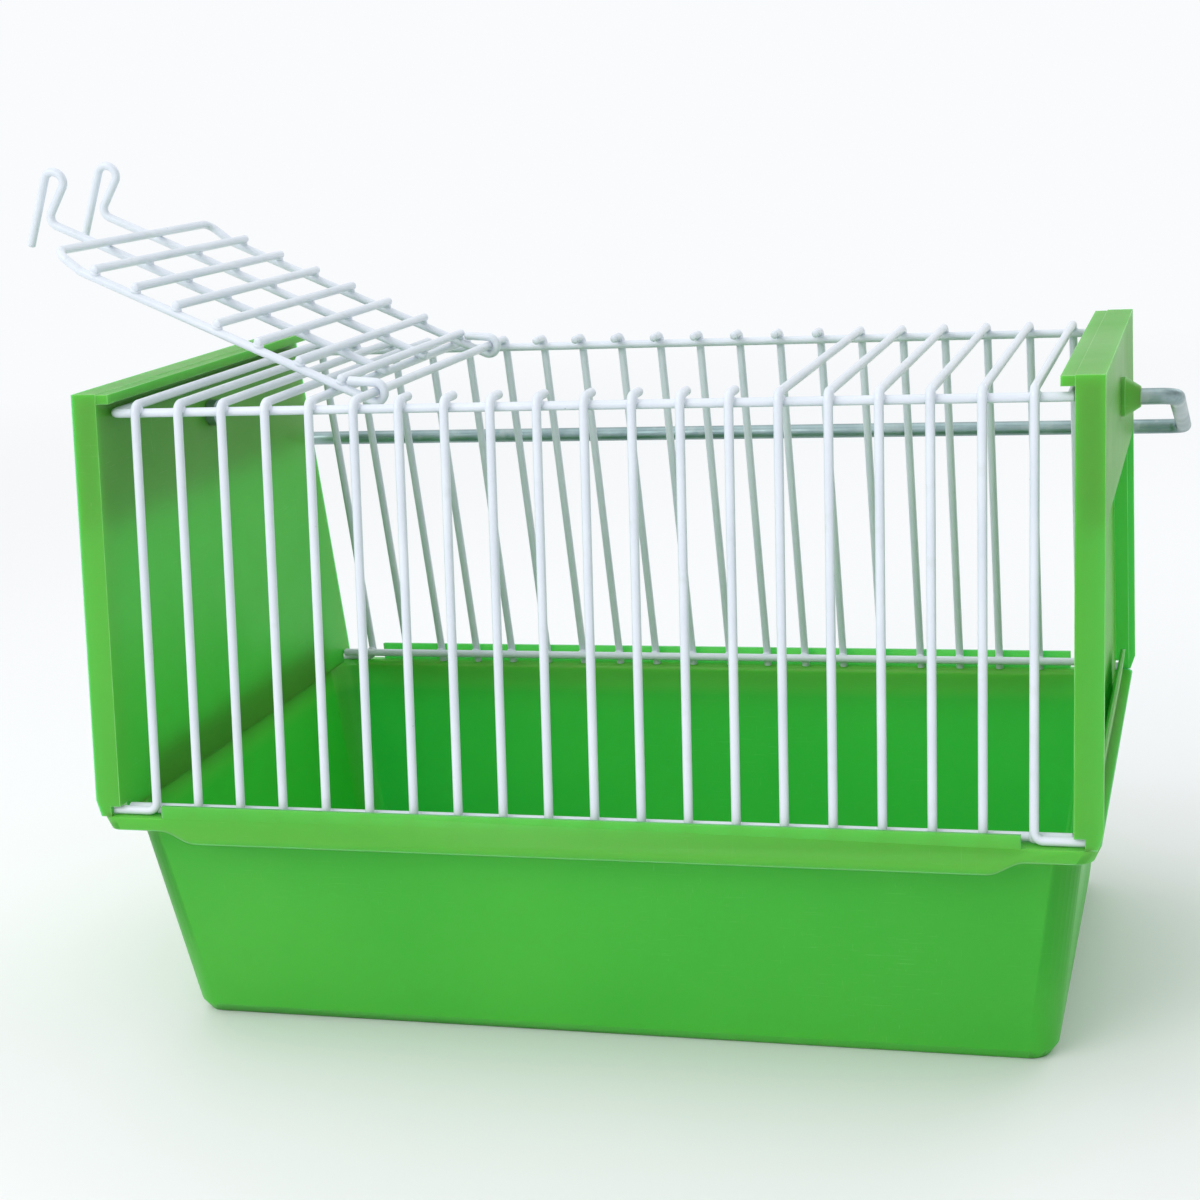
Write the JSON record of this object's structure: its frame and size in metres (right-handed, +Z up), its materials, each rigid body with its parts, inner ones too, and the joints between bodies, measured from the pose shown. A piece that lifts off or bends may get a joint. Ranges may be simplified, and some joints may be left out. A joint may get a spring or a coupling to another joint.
{
  "type": "kennel cage",
  "caption": "Small-animal clinic cage: moulded tray and end panels, welded wire body, hinged wire top door with spring latch hooks, and a folding carrying bail.",
  "frame": {"origin": "centre of the tray's underside, where the cage rests", "axes": "+X along the cage towards the latch side, +Y from front to back, +Z up"},
  "size_m": [0.5957, 0.3, 0.4336],
  "materials": {
    "tray_plastic": "moulded green plastic, semi-gloss",
    "panel_plastic": "moulded green plastic, semi-gloss",
    "coated_wire": "thick white powder coat on welded wire",
    "zinc_steel": "dull zinc-plated rod"
  },
  "bodies": {
    "root": {"tray": "tray_plastic", "end_panel_left": "panel_plastic", "end_panel_right": "panel_plastic", "top_rail_front": "coated_wire", "top_rail_back": "coated_wire", "low_rail_front": "coated_wire", "low_rail_back": "coated_wire", "hoop_wire_1": "coated_wire", "hoop_wire_2": "coated_wire", "hoop_wire_3": "coated_wire", "hoop_wire_4": "coated_wire", "hoop_wire_5": "coated_wire", "hoop_wire_6": "coated_wire", "hoop_wire_7": "coated_wire", "hoop_wire_8": "coated_wire", "hoop_wire_9": "coated_wire", "hoop_wire_10": "coated_wire", "hoop_wire_11": "coated_wire", "hoop_wire_12": "coated_wire", "front_wire_1": "coated_wire", "front_wire_2": "coated_wire", "front_wire_3": "coated_wire", "front_wire_4": "coated_wire", "front_wire_5": "coated_wire", "front_wire_6": "coated_wire", "front_wire_7": "coated_wire", "front_wire_8": "coated_wire", "back_wire_1": "coated_wire", "back_wire_2": "coated_wire", "back_wire_3": "coated_wire", "back_wire_4": "coated_wire", "back_wire_5": "coated_wire", "back_wire_6": "coated_wire", "back_wire_7": "coated_wire", "back_wire_8": "coated_wire"},
    "door": {"door_frame": "coated_wire", "door_latch_front": "coated_wire", "door_latch_back": "coated_wire", "door_cross_1": "coated_wire", "door_cross_2": "coated_wire", "door_cross_3": "coated_wire", "door_cross_4": "coated_wire", "door_cross_5": "coated_wire", "door_cross_6": "coated_wire", "door_cross_7": "coated_wire"},
    "bail": {"carry_bail": "zinc_steel", "bail_cap_left": "zinc_steel", "bail_cap_right": "zinc_steel"}
  },
  "joints": [
    {"name": "door_hinge", "type": "hinge", "parent": "root", "child": "door", "pos_m": [-0.1035, 0, 0.3215], "axis": [0, 1, 0], "range_deg": [0, 155.7]},
    {"name": "bail_pivot", "type": "hinge", "parent": "root", "child": "bail", "pos_m": [0, 0, 0.2995], "axis": [1, 0, 0], "range_deg": [0, 83]}
  ]
}
